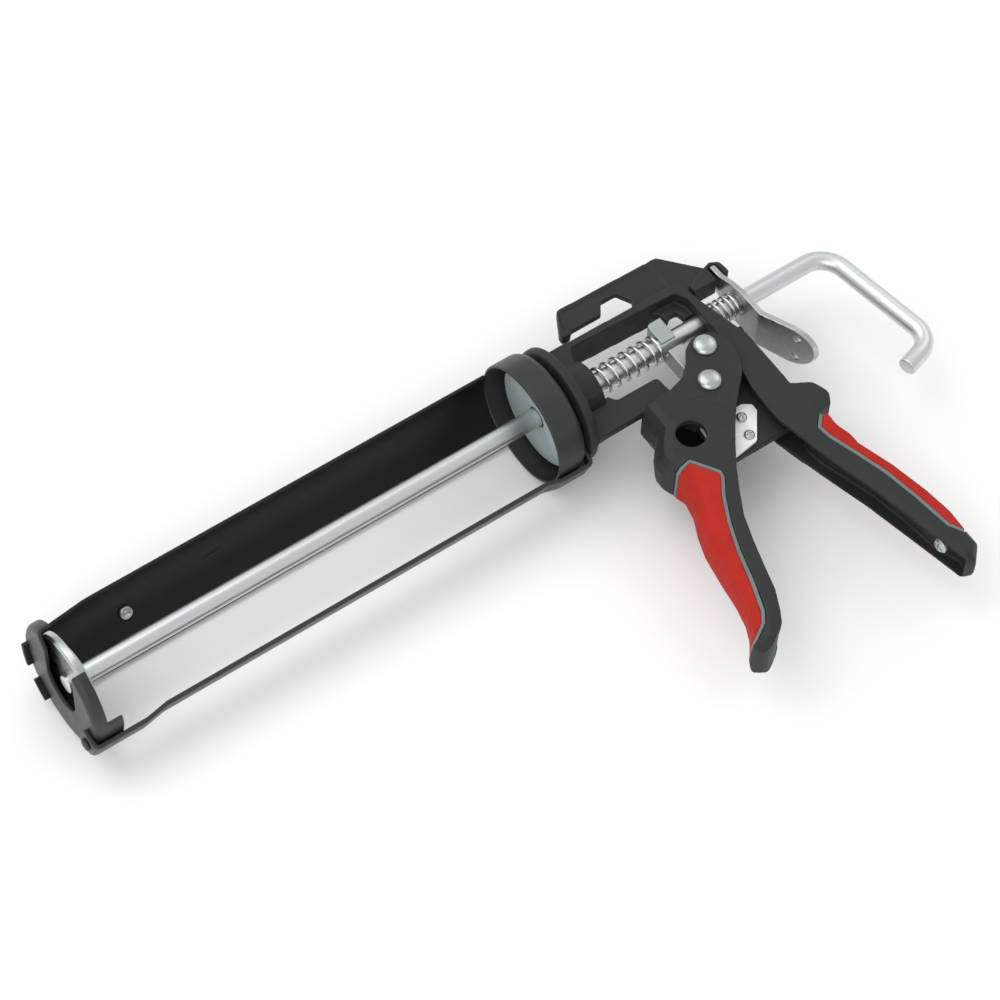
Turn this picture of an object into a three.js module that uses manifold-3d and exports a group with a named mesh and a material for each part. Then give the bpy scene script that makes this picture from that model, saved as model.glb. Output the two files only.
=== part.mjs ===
// Cradle caulking gun for 310 ml cartridges, lying on its right side, in millimetres.
// Working frame: X runs along the push rod (nozzle end at -X), the handle hangs toward -Y, Z is up.
// The rod axis is the X axis and X = 0 is the front rim of the rear cup. A last shift puts the
// origin at the middle of the bounding box in plan, on the surface that the gun lies on.
import * as THREE from "three";
import { mergeVertices } from "three/addons/utils/BufferGeometryUtils.js";
import Module from "manifold-3d";

const wasm = await Module();
wasm.setup();

// Driving dimensions
const GAP = 0.3; // clearance between neighbouring pieces
const ROUND = 36; // sides of a large circle
const ROD_R = 4;
const ROD_BORE_R = 4.4;
const CUP_R = 27;
const CUP_DEPTH = 14;
const SHEET = 1.4; // steel sheet of cup, trough and front cap
const CAP_X = -217.5; // outer face of the front cap
const TROUGH_R = 26.9;
const TROUGH_MID_DEG = -31;
const TROUGH_HALF_DEG = 41;
const STRAP_HALF_WIDTH = 6;
const STRAP_DEG = 20; // the strap lies this far below the horizontal
const DISC_X = 7.5;
const DISC_R = 22.7;
const FLANGE_X = 16.7;
const FLANGE_END_X = 20.5;
const FLANGE_R = 25.5;
const BOSS_R = 12;
const BOSS_END_X = 34;
const RIM_HALF = 8; // half width of the window rim
const WEB_HALF = 2; // half thickness of the mid-plane web
const HANDLE_HALF = 8.5; // half width of the rear handle
const HANDLE_WALL = 2;
const EAR_IN = 9; // inner and outer half width of the trigger
const EAR_OUT = 12;
const CORE_HALF = 9.2; // black core under the trigger grip
const BORDER = 1.3; // width of the grey border round each grip
const PIVOT = [70.9, -30.7]; // trigger pivot
const PUSH_PIN = [79.6, -15.9]; // pin with the roller that pushes the drive block
const RIVET_R = 3;
const RIVET_HEAD_R = 5.3;
const ROLLER_R = 3.4;
const BLOCK_X = 69; // front face of the drive block
const BLOCK_THICK = 7;
const BLOCK_HALF = 4.9;
const LEVER_X = 108.1; // front face of the release lever
const LEVER_THICK = 2.5;
const PUSHER_X = -213.6;
const PIERCER_X = -175; // rivet of the seal piercer
const SHIFT = new THREE.Vector3(26.9, 59.1, 27);

// Materials: one MeshStandardMaterial for each mesh
const FINISH = {
  plastic: { color: 0x3d3f3f, roughness: 0.55, metalness: 0 },
  powder: { color: 0x2c2e2e, roughness: 0.42, metalness: 0 },
  red: { color: 0xc23a2e, roughness: 0.75, metalness: 0 },
  grey: { color: 0x788080, roughness: 0.6, metalness: 0 },
  zinc: { color: 0xc9cfd0, roughness: 0.32, metalness: 1 },
};

function shapeOf(points) {
  // points: [x, y] or [x, y, radius of the round at that corner]
  const shape = new THREE.Shape();
  const n = points.length;
  points.forEach(([x, y, r = 0], i) => {
    const here = new THREE.Vector2(x, y);
    if (!r) return i ? shape.lineTo(x, y) : shape.moveTo(x, y);
    const before = new THREE.Vector2(...points[(i + n - 1) % n]).sub(here);
    const after = new THREE.Vector2(...points[(i + 1) % n]).sub(here);
    const half = Math.abs(before.angleTo(after)) / 2;
    const run = Math.min(r / Math.tan(half), before.length() / 2.02, after.length() / 2.02);
    const start = before.setLength(run).add(here);
    const end = after.setLength(run).add(here);
    if (i) shape.lineTo(start.x, start.y);
    else shape.moveTo(start.x, start.y);
    shape.quadraticCurveTo(x, y, end.x, end.y);
  });
  shape.closePath();
  return shape;
}

function solid(geometry) {
  const bare = geometry.clone();
  bare.deleteAttribute("normal");
  bare.deleteAttribute("uv");
  const merged = mergeVertices(bare, 1e-4);
  const vertProperties = merged.attributes.position.array;
  const triVerts = new Uint32Array(merged.index.array);
  const made = new wasm.Manifold(new wasm.Mesh({ numProp: 3, vertProperties, triVerts }));
  if (made.volume() > 0) return made;
  for (let i = 0; i < triVerts.length; i += 3) {
    [triVerts[i], triVerts[i + 1]] = [triVerts[i + 1], triVerts[i]];
  }
  return new wasm.Manifold(new wasm.Mesh({ numProp: 3, vertProperties, triVerts }));
}

const union = (...parts) => parts.reduce((a, b) => a.add(b));
const cut = (body, ...tools) => tools.reduce((a, b) => a.subtract(b), body);

// A plate with its outline in XY, between two heights
function plate(points, z0, z1, curveSegments = 4) {
  const shape = shapeOf(points);
  const g = new THREE.ExtrudeGeometry(shape, { depth: z1 - z0, bevelEnabled: false, curveSegments });
  return solid(g.translate(0, 0, z0));
}

// A plate of the given half thickness whose edges are rounded: inset by size over a height of thick
function pillow(points, half, size, thick, segments = 3) {
  const g = new THREE.ExtrudeGeometry(shapeOf(points), {
    depth: 2 * (half - thick),
    bevelSize: size,
    bevelOffset: -size,
    bevelThickness: thick,
    bevelSegments: segments,
    curveSegments: 2,
  });
  return solid(g.translate(0, 0, thick - half));
}

function box(x0, x1, y0, y1, z0, z1) {
  const g = new THREE.BoxGeometry(x1 - x0, y1 - y0, z1 - z0);
  return solid(g.translate((x0 + x1) / 2, (y0 + y1) / 2, (z0 + z1) / 2));
}

// A body turned about the X axis: profile points are [radius, x]
function turned(profile, sides = ROUND) {
  const g = new THREE.LatheGeometry(profile.map(([r, x]) => new THREE.Vector2(r, x)), sides);
  return solid(g.rotateZ(-Math.PI / 2));
}

// A body turned about an axis parallel to Z: profile points are [radius, z]
function turnedZ([x, y], profile, sides = 24) {
  const g = new THREE.LatheGeometry(profile.map(([r, z]) => new THREE.Vector2(r, z)), sides);
  return solid(g.rotateX(Math.PI / 2).translate(x, y, 0));
}

const rodX = (r, x0, x1, sides) => turned([[0, x0], [r, x0], [r, x1], [0, x1]], sides);
const rodZ = (at, r, z0, z1, sides) => turnedZ(at, [[0, z0], [r, z0], [r, z1], [0, z1]], sides);

// The wedge between two angles round the X axis, measured from +Y toward +Z
function wedge(from, to, x0, x1, reach = 60) {
  const steps = Math.max(2, Math.ceil((to - from) / 30));
  const points = [new THREE.Vector2(0, 0)];
  for (let i = 0; i <= steps; i++) {
    const a = THREE.MathUtils.degToRad(from + ((to - from) * i) / steps);
    points.push(new THREE.Vector2(reach * Math.cos(a), reach * Math.sin(a)));
  }
  const g = new THREE.ExtrudeGeometry(new THREE.Shape(points), { depth: x1 - x0, bevelEnabled: false });
  const toX = new THREE.Matrix4().makeBasis(
    new THREE.Vector3(0, 1, 0),
    new THREE.Vector3(0, 0, 1),
    new THREE.Vector3(1, 0, 0),
  );
  return solid(g.applyMatrix4(toX).translate(x0, 0, 0));
}

// A round bar along a path
function bar(path, radius, steps, sides) {
  const section = new THREE.Shape(
    Array.from({ length: sides }, (_, i) => {
      const a = (2 * Math.PI * i) / sides;
      return new THREE.Vector2(radius * Math.cos(a), radius * Math.sin(a));
    }),
  );
  return solid(new THREE.ExtrudeGeometry(section, { steps, extrudePath: path }));
}

// An open line moved sideways, to its left for a positive distance
function shifted(points, distance) {
  return points.map(([x, y], i) => {
    const [x0, y0] = points[Math.max(0, i - 1)];
    const [x1, y1] = points[Math.min(points.length - 1, i + 1)];
    const length = Math.hypot(x1 - x0, y1 - y0);
    return [x - (distance * (y1 - y0)) / length, y + (distance * (x1 - x0)) / length];
  });
}

class Helix extends THREE.Curve {
  // A spring round the X axis whose end turns lie closed
  constructor(x0, x1, radius, turns, wire) {
    super();
    Object.assign(this, { x0, x1, radius, turns, wire });
  }
  getPoint(t, target = new THREE.Vector3()) {
    const turn = t * this.turns;
    const closed = this.wire * 1.15; // pitch of the closed end turns
    const open = (this.x1 - this.x0 - 2 * closed) / (this.turns - 2);
    const middle = Math.min(Math.max(turn - 1, 0), this.turns - 2);
    const ends = Math.min(turn, 1) + Math.max(turn - this.turns + 1, 0);
    const a = 2 * Math.PI * turn;
    const x = this.x0 + middle * open + ends * closed;
    return target.set(x, this.radius * Math.cos(a), this.radius * Math.sin(a));
  }
}

// ---- Cradle: rear cup, backing disc, trough, front cap, strap, seal piercer ----

function rearCup() {
  const r = CUP_R;
  const x = CUP_DEPTH;
  const w = SHEET;
  return turned([
    [r - w, 0], [r, 0], [r, x - 4.5], [r - 0.6, x - 2], [r - 2, x - 0.5], [r - 4, x],
    [9.6, x], [9.6, x - w], [r - 4.4, x - w], [r - 2.7, x - w - 0.6], [r - w - 0.3, x - 4.5], [r - w, 0],
  ]);
}

const backingDisc = () => turned([[4.7, DISC_X], [DISC_R, DISC_X], [DISC_R, DISC_X + 1.6],
  [4.7, DISC_X + 1.6], [4.7, DISC_X]]);

const troughArc = (x0, x1) =>
  wedge(TROUGH_MID_DEG - TROUGH_HALF_DEG, TROUGH_MID_DEG + TROUGH_HALF_DEG, x0, x1);
const TAB_DEG = [[-27, 2], [-66, -43]];
const tabs = (grow) =>
  union(...TAB_DEG.map(([from, to]) => {
    const ring = turned([[23 - grow, -221], [24.8 + grow, -221], [24.8 + grow, -214],
      [23 - grow, -214], [23 - grow, -221]]);
    return ring.intersect(wedge(from - grow, to + grow, -219.8 - grow, -214.2));
  }));

function trough() {
  const r = TROUGH_R;
  const neck = 24.8; // radius where the trough enters the front cap
  const shell = turned([
    [r - SHEET, -GAP], [r, -GAP], [r, -190], [neck, -210], [neck, -214.5],
    [neck - SHEET, -214.5], [neck - SHEET, -210], [r - SHEET, -190], [r - SHEET, -GAP],
  ], 60);
  const mid = THREE.MathUtils.degToRad(TROUGH_MID_DEG);
  const rivetHole = solid(new THREE.CylinderGeometry(1.9, 1.9, 10, 16)
    .translate(0, 26, 0).rotateX(mid).translate(PIERCER_X, 0, 0));
  return cut(shell.intersect(troughArc(-214.5, -GAP)), rivetHole).add(tabs(0));
}

function frontCap() {
  const x = CAP_X;
  const skirt = x + 6;
  const dish = turned([
    [0, x], [24, x], [26.2, x + 0.9], [CUP_R, x + 2.6], [CUP_R, skirt],
    [CUP_R - SHEET, skirt], [CUP_R - SHEET, x + 3.1], [23.6, x + 1.6], [0, x + 1.6],
  ]);
  // the U slot for the nozzle, open toward +Z and slightly flared
  const slot = union(
    rodX(10.2, x - 1, x + 2.5, 32).translate(0, -1, 1),
    wedge(58, 116, x - 1, skirt + 1),
    box(x - 1, skirt + 1, -11.2, 9.2, 1, 40),
  );
  // a longer ear that the strap is fixed over
  const ear = turned([[CUP_R, skirt - 2], [CUP_R, x + 12.5], [CUP_R - SHEET, x + 12.5],
    [CUP_R - SHEET, skirt - 2], [CUP_R, skirt - 2]]).intersect(wedge(170, 230, x, x + 13));
  const open = wedge(56, 62, x + 2.2, skirt + 1);
  return cut(union(dish, ear), slot, open, tabs(GAP));
}

function strap() {
  const outline = [
    [16.1, -18.5], [16.1, -29.1, 2], [1, -29.1, 6], [-6, -27.4, 6], [-186, -27.4, 8], [-196, -29.1, 8],
    [-219.6, -29.1, 2.5], [-219.6, -19.5],
    [-217.8, -19.5], [-217.8, -27.3, 1], [-195.5, -27.3, 8], [-185.5, -25.6, 8], [-6.5, -25.6, 6],
    [0.5, -27.3, 6], [14.3, -27.3, 0.6], [14.3, -18.5],
  ];
  return plate(outline, -STRAP_HALF_WIDTH, STRAP_HALF_WIDTH).rotate([STRAP_DEG, 0, 0]);
}

function strapRivet() {
  const g = new THREE.LatheGeometry(
    [[0, 0], [3, 0], [2.7, 0.8], [1.6, 1.4], [0, 1.6]].map(([r, h]) => new THREE.Vector2(r, h)), 20);
  return solid(g.rotateZ(Math.PI / 2).translate(-219.9, -24, 0)).rotate([STRAP_DEG, 0, 0]);
}

// Everything on the trough's middle line is built along +Y, then turned to the trough's angle
const onTrough = (made) => made.rotate([TROUGH_MID_DEG, 0, 0]).translate(PIERCER_X, 0, 0);

function piercerRivet() {
  const profile = [[0, 23.9], [1.2, 23.9], [2.4, 24.2], [3.2, 25.1], [1.6, 25.1], [1.6, 31.2],
    [3.2, 31.2], [2.6, 32.3], [0, 32.6]];
  const g = new THREE.LatheGeometry(profile.map(([r, y]) => new THREE.Vector2(r, y)), 20);
  return onTrough(solid(g));
}

function sealPiercer() {
  const wire = 1.3;
  const height = TROUGH_R + GAP + wire + 0.5;
  const eye = solid(new THREE.LatheGeometry(
    [[1.9, height - 1.1], [4, height - 1.1], [4, height + 1.1], [1.9, height + 1.1],
      [1.9, height - 1.1]].map(([r, y]) => new THREE.Vector2(r, y)), 20));
  const line = new THREE.LineCurve3(new THREE.Vector3(3, height, 0), new THREE.Vector3(40, height, 0));
  const point = solid(new THREE.ConeGeometry(wire, 4, 10).rotateZ(-Math.PI / 2).translate(42, height, 0));
  return onTrough(union(eye, bar(line, wire, 1, 10), point));
}

// ---- Plunger: two pusher discs on the end of the hooked pull rod ----

const pusherDisc = () => turned([
  [ROD_R + GAP, PUSHER_X + 0.6], [9, PUSHER_X + 0.6], [17, PUSHER_X + 0.2], [20.2, PUSHER_X - 0.3],
  [21.2, PUSHER_X + 0.4], [21.3, PUSHER_X + 3.2], [20.1, PUSHER_X + 3.2], [19.8, PUSHER_X + 1.4],
  [17, PUSHER_X + 1.6], [9, PUSHER_X + 2], [ROD_R + GAP, PUSHER_X + 2], [ROD_R + GAP, PUSHER_X + 0.6],
]);

const pusherBacking = () => turned([
  [ROD_R + GAP, PUSHER_X + 2.3], [8.6, PUSHER_X + 2.4], [12, PUSHER_X + 4], [14.4, PUSHER_X + 4],
  [14.4, PUSHER_X + 5.4], [11.4, PUSHER_X + 5.4], [8, PUSHER_X + 3.8], [ROD_R + GAP, PUSHER_X + 3.6],
  [ROD_R + GAP, PUSHER_X + 2.3],
]);

const HOOK = [[155, 0], [165, -59.5], [147.5, -64.6]]; // corners of the hook's centre line
const HOOK_BEND = 9;

function pullRod() {
  const path = new THREE.CurvePath();
  const corners = [[PUSHER_X - 1.4, 0], ...HOOK].map(([x, y]) => new THREE.Vector3(x, y, 0));
  let from = corners[0];
  for (let i = 1; i < corners.length - 1; i++) {
    const toCorner = corners[i].clone().sub(corners[i - 1]).setLength(HOOK_BEND);
    const away = corners[i + 1].clone().sub(corners[i]).setLength(HOOK_BEND);
    const start = corners[i].clone().sub(toCorner);
    const end = corners[i].clone().add(away);
    path.add(new THREE.LineCurve3(from, start));
    path.add(new THREE.QuadraticBezierCurve3(start, corners[i], end));
    from = end;
  }
  path.add(new THREE.LineCurve3(from, corners[corners.length - 1]));
  const straight = rodX(ROD_R, PUSHER_X - 1.4, 130, 20);
  const total = path.getLength();
  const first = (130 - PUSHER_X + 1.4 - 1) / total;
  const tail = Object.assign(new THREE.Curve(), {
    getPoint: (t, target) => path.getPointAt(first + (1 - first) * t, target),
  });
  return union(straight, bar(tail, ROD_R, 26, 20));
}

// ---- Frame: flange, boss, window, hang hook, web and rear handle in one moulding ----

const HANDLE_FRONT = [[89.5, -10], [87.2, -28], [84.6, -42], [84.2, -60], [89.4, -83], [94.9, -106],
  [99, -125], [102.2, -139], [104.2, -147.5]];
const HANDLE_LINE = [[104.5, -65.4], [99.5, -66.6], [94.9, -71.4], [95.6, -78], [99.8, -91], [103.7, -104],
  [106.6, -120], [108.9, -137.5], [112.5, -143.2], [118, -145.5]]; // the edge that the grip's border follows

function frameHousing() {
  const flange = turned([
    [0, 14.3], [17, 14.3], [17, FLANGE_X], [FLANGE_R - 1.2, FLANGE_X], [FLANGE_R, FLANGE_X + 1.2],
    [FLANGE_R, FLANGE_END_X - 1], [FLANGE_R - 1.2, FLANGE_END_X + 0.4], [0, FLANGE_END_X + 0.4],
  ]);
  const spigot = rodX(9, 10, 15, 24);
  const boss = rodX(BOSS_R, 20, BOSS_END_X);
  const block = plate([[20, 19], [35.5, 19], [35.5, 15.9], [34.2, 13.5], [33, 10.2], [31, 9], [31, -9.5],
    [20, -9.5]], -RIM_HALF, RIM_HALF);
  const rim = plate([
    [20, 19.2], [47, 18.5], [85.4, 18.4], [89.6, 18.2, 2], [91.6, 15.5, 2], [93.4, 5.7], [99.3, -17.8, 6],
    [99.2, -30], [89.6, -30], [89.6, 14], [36, 15.9], [20, 15.9],
  ], -RIM_HALF, RIM_HALF);
  const corner = plate([[84, 17], [91, 17], [91, 8], [89, 10, 3], [86, 15.8, 2]], -RIM_HALF, RIM_HALF);
  const lowerArm = plate([
    [20, -9], [36.6, -9], [38.6, -12.3, 2], [58.8, -12.5, 2], [59.3, -20.5, 2], [61, -22.6, 1], [92, -22.6],
    [92, -62.3], [57.5, -62.3], [57.8, -42, 4], [46, -23.6, 2], [20, -24],
  ], -WEB_HALF, WEB_HALF);
  const gusset = plate([[72, 17], [78, 12], [78.4, 7], [81.5, 9.4], [85, 9.2], [85.6, 4.8], [91, 4.8],
    [91, 17]], -WEB_HALF, WEB_HALF);
  return union(flange, spigot, boss, block, rim, corner, lowerArm, gusset, hangHook(), leverArm(), handle());
}

function hangHook() {
  const hook = plate([
    [44, 37.5, 2], [93.9, 36.6, 3], [109, 19.6], [106, 12], [92, 12], [86, 17], [71.8, 17], [71.8, 22.4, 1],
    [73, 24.4, 1], [69.4, 31, 1], [61.9, 31, 1], [58.4, 25.9, 1], [43.4, 25.9], [41.4, 24], [37.8, 24.4, 1],
    [37.9, 26.8],
  ], -1.5, 1.5);
  const web = plate([[90, 36.6], [93.9, 36.6, 3], [109, 19.6], [106, 12], [90, 12]], -WEB_HALF, WEB_HALF);
  const edge = plate([[44, 37.5, 2], [88, 36.7], [88, 35], [45, 35.6]], -WEB_HALF, WEB_HALF);
  const foot = plate([[43.3, 35.6], [44, 37.5, 1], [37.9, 26.8], [37.8, 24.4, 1], [41.4, 24], [43.4, 25.9],
    [42.4, 27.6], [40.4, 27.6]], -2.6, 2.6);
  return union(hook, web, edge, foot);
}

// The arm whose notch holds the top end of the release lever
function leverArm() {
  return plate([[95.5, 11.5, 1], [107.2, 11.5], [107.2, 18.9], [111.5, 18.9], [111.5, 11.8, 1],
    [114.2, 12.2, 1.5], [113.6, 18.6, 2], [109.6, 20.8, 1.5], [100, 17.5], [95.5, 15.5]], -5, 5);
}

const HANDLE_BACK = [[99.3, -17.8], [99.1, -48.2], [106.8, -52.6, 5], [109.9, -60, 4], [106.8, -65.2, 2]];
const HANDLE_END = [[117, -141.4, 1.5], [115.6, -149.6, 6], [108.6, -157.2, 5], [105, -151.4, 3]];
const GRIP_BACK = [[102.4, -67.8, 1], [102.2, -75.1, 6], [105.9, -85.1], [110.9, -101.1], [114.6, -118.7],
  [116.2, -131.5], [115.7, -141]];

// The rounded back and end of the handle, open at the front
const handleRound = () => pillow([[92, 20], [106, 20], [106, -44], [111.5, -50], [113.5, -60], [107.4, -70],
  ...GRIP_BACK.slice(2), [115.6, -149.6], [109.6, -155.9], [104.4, -154], [101.2, -139], [93.9, -106],
  [86, -78], [60, -62], [60, 20]], HANDLE_HALF, 4.5, 6);

function handle() {
  const outline = [[92, -17.8], ...HANDLE_BACK, ...HANDLE_LINE.slice(0, -1), ...HANDLE_END,
    ...[...HANDLE_FRONT].reverse()];
  const body = plate(outline, -HANDLE_HALF, HANDLE_HALF).intersect(handleRound());
  const front = HANDLE_FRONT.map(([x, y]) => [x - 6, y]);
  const floor = [[110.4, -147.4, 4], ...shifted(HANDLE_LINE.slice(2, 8), -HANDLE_WALL - 0.6).reverse(),
    [96.6, -60], [96.6, -48], [96, -24], [92, -17]];
  const channel = plate([...front, [100, -151.8, 2], [108.6, -153.6, 4], ...floor],
    -HANDLE_HALF + HANDLE_WALL, HANDLE_HALF - HANDLE_WALL);
  const web = plate([[86, -17], [98, -17], [98, -62.3], [82, -62.3], [84.6, -42]], -WEB_HALF, WEB_HALF);
  return union(cut(body, channel), web);
}

function finishedFrame() {
  const peg = rodX(1.9, 96, 101.8, 16).translate(0, -13, 2);
  const pivotBoss = rodZ(PIVOT, 7, -EAR_IN + GAP, EAR_IN - GAP);
  return cut(
    union(frameHousing(), peg, pivotBoss),
    rodX(ROD_BORE_R, 0, 130, 24),
    rodX(6.9, 26, 40, 24),
    rodX(6.6, 92.4, 106, 24),
    rodZ(PIVOT, RIVET_R + GAP, -20, 20),
    box(107.2, 111.5, 11, 18.9, -6, 6),
    ...BLADE_SCREWS.map((at) => rodZ(at, 1.5, -4, 4, 12)),
  );
}

function retainingNut() {
  const hex = rodX(12.5, 9.4, 12.3, 6);
  return cut(hex, rodX(9.3, 8, 14, 24));
}

function handleGrip() {
  const line = shifted(HANDLE_LINE, BORDER + 2 * GAP).slice(1, 9);
  const back = [...GRIP_BACK].reverse();
  return plate([...line, ...back], -HANDLE_HALF, HANDLE_HALF).intersect(handleRound());
}

function handleBorder() {
  const inside = shifted(HANDLE_LINE, GAP).slice(1, 9);
  const outside = shifted(HANDLE_LINE, BORDER + GAP).slice(1, 9);
  return plate([...inside, ...outside.reverse()], -HANDLE_HALF, HANDLE_HALF).intersect(handleRound());
}

const BLADE_SCREWS = [[74.5, -48.4], [72, -57]];
const BLADE_Z = WEB_HALF + GAP;

function blade() {
  const sheet = plate([[57.6, -43.2], [78.4, -43.2], [82, -45.6, 1], [81.9, -49], [73.1, -60.6, 1],
    [60.5, -62.3], [56.4, -56]], BLADE_Z, BLADE_Z + 1.5);
  return cut(sheet, ...BLADE_SCREWS.map((at) => rodZ(at, 1.5, 0, 5, 12)));
}

function bladeScrew(at) {
  const z = BLADE_Z + 1.5 + 0.1;
  const body = turnedZ(at, [[0, -1.5], [1.2, -1.5], [1.2, z], [2.4, z], [2.2, z + 0.6], [1.5, z + 1],
    [0, z + 1.1]], 16);
  const [x, y] = at;
  const slots = [box(x - 1.5, x + 1.5, y - 0.3, y + 0.3, z + 0.5, z + 3),
    box(x - 0.3, x + 0.3, y - 1.5, y + 1.5, z + 0.5, z + 3)];
  return cut(body, ...slots);
}

// The screw on the floor of the handle's channel, facing the trigger
function handleScrew() {
  const x = 106;
  const head = turned([[0, x - 2.3], [2.4, x - 2.1], [3.5, x - 1.2], [3.7, x], [0, x]], 20);
  const cross = [box(x - 3, x - 1.4, -2.2, 2.2, -0.4, 0.4), box(x - 3, x - 1.4, -0.4, 0.4, -2.2, 2.2)];
  return cut(head, ...cross).translate(0, -139.6, 0);
}

// ---- Trigger: a channel whose two ears straddle the frame ----

const TRIGGER_REAR = [[88.6, -26.7], [86.3, -31.7], [83.8, -35.5], [78, -41], [73.3, -45.7], [67.2, -53],
  [61, -61.3], [55.1, -69.8], [49.8, -78.6], [43.6, -90], [39.8, -101], [36.4, -112.3], [33.1, -124],
  [29, -132.6, 3], [26, -137.6, 1]];
const TRIGGER_TIP = [[21.7, -140.6, 2], [18.8, -142.4], [16.2, -143.2], [13.6, -142.8], [11.8, -141],
  [10.8, -138.2]];
const TRIGGER_FRONT = [[13.2, -136], [16.9, -130.8], [20.4, -123.2], [22.5, -114.4], [24.2, -101.6],
  [26.4, -88.6], [29.5, -79.6], [33.3, -71.7], [35, -64], [34.6, -57.2]];
const TRIGGER_SHOULDER = [[31.6, -52.6, 4], [31.8, -48, 4], [35.4, -42.1, 4], [39.4, -38.5, 3],
  [40, -26.2, 2]];
const TRIGGER_LOBE = [[54.5, -25.6, 4], [62.5, -23.4, 4], [68.4, -18], [72, -13], [75.8, -10.6], [80, -9.8],
  [84, -10.9], [87.3, -13.7], [88.9, -17.6], [89.1, -22.3]];
const TRIGGER_LINE = [[30, -57.2], [34.6, -57.2], [41.6, -56.8], [48.9, -68], [48.1, -71.6], [43.3, -78.4],
  [37.4, -90], [32.7, -102.2], [28.5, -117], [24.2, -129.2], [20.8, -134.2], [14.6, -137.6], [6, -139.4]];

// The rounded front and tip of the trigger, open at the rear
const triggerRound = () => pillow([[15.5, -145.4], [9, -140.8], ...TRIGGER_FRONT.slice(1, 9),
  [31.6, -52.6], [31.8, -48], [35.4, -42.1], [40, -37], [40, 30], [140, 30], [140, -180], [24, -180]],
EAR_OUT, 6.5, 9);

const triggerCore = (grow) => {
  const front = shifted(TRIGGER_FRONT, -2.8 + grow);
  return plate([...front, [38.6, -55], [60, -58], ...TRIGGER_REAR.slice(7), [14.4, -139.4]],
    -CORE_HALF - grow, CORE_HALF + grow);
};

function trigger() {
  const outer = [...TRIGGER_TIP, ...TRIGGER_FRONT, ...TRIGGER_SHOULDER, ...TRIGGER_LOBE, ...TRIGGER_REAR];
  const body = plate(outer, -EAR_OUT, EAR_OUT).intersect(triggerRound());
  const gripSide = plate([...TRIGGER_LINE, [0, -139], [0, -57.2]], -20, 20);
  const channel = plate([
    [43.2, -20], [43.2, -41, 2], [38.6, -45, 2], [36, -50, 2], [37.6, -56], [55, -60], [62, -66], [100, -44],
    [100, 0], [43.2, 0],
  ], -EAR_IN, EAR_IN);
  const groove = plate([
    [37.6, -54], [62, -58], [64, -64], ...TRIGGER_REAR.slice(7, 14).map(([x, y]) => [x + 3, y]), [29, -141],
    [22.6, -138.2], [20.4, -133], [21.5, -127], ...shifted(TRIGGER_FRONT.slice(3, 9), -5.6),
  ], -CORE_HALF + 2.6, CORE_HALF - 2.6);
  const namePlate = plate([[53.8, -38], [56.7, -33], [70.3, -37.2], [67.8, -42.1]],
    EAR_OUT - 0.35, EAR_OUT + 1);
  const cutterHole = rodZ([49.2, -47.3], 6.3, -20, 20, 32);
  return cut(
    union(cut(body, gripSide), triggerCore(0)),
    channel, groove, namePlate, cutterHole,
    rodZ(PIVOT, RIVET_R + GAP, -20, 20), rodZ(PUSH_PIN, RIVET_R - 0.2, -20, 20),
  );
}

// The grip and its border: the front of the trigger, hollow over the black core
function triggerBand(line, hollow) {
  const body = plate([...TRIGGER_TIP.slice(5), ...TRIGGER_FRONT, [31, -56], [60, -50], [60, -146]],
    -EAR_OUT, EAR_OUT);
  const side = plate([...line, [0, -139], [0, -57.2]], -20, 20);
  return cut(body.intersect(side).intersect(triggerRound()), hollow);
}

function triggerGrip() {
  return triggerBand(shifted(TRIGGER_LINE, -BORDER - 2 * GAP), triggerCore(GAP));
}

function triggerBorder() {
  const line = (d) => plate([...shifted(TRIGGER_LINE, d), [0, -139], [0, -57.2]], -20, 20);
  const band = triggerBand(shifted(TRIGGER_LINE, -GAP), triggerCore(GAP));
  return cut(band, line(-BORDER - GAP));
}

// A rivet through both ears, with a domed head on each side
function rivet(at, r) {
  const h = EAR_OUT + 0.15;
  const R = RIVET_HEAD_R;
  const head = [[R, h], [R - 0.4, h + 0.9], [R - 1.7, h + 1.8], [R - 3.4, h + 2.3], [0, h + 2.5]];
  const under = head.map(([a, b]) => [a, -b]).reverse();
  return turnedZ(at, [...under, [r, -h], [r, h], ...head], 18);
}

function roller() {
  const half = EAR_IN - GAP;
  return turnedZ(PUSH_PIN, [[2.9, -half], [ROLLER_R + 0.1, -half], [ROLLER_R + 0.1, half], [2.9, half],
    [2.9, -half]], 20);
}

// ---- Drive block, release lever and springs ----

function driveBlock() {
  const x = BLOCK_X;
  const blank = plate([[x, 9.3, 2], [x + BLOCK_THICK, 9.3], [x + BLOCK_THICK, -17], [x, -17]],
    -BLOCK_HALF, BLOCK_HALF);
  return cut(blank, rodX(ROD_R + GAP, x - 1, x + 10, 24), box(x - 1, x + 10, -6, -1.8, 0, 10));
}

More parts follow.
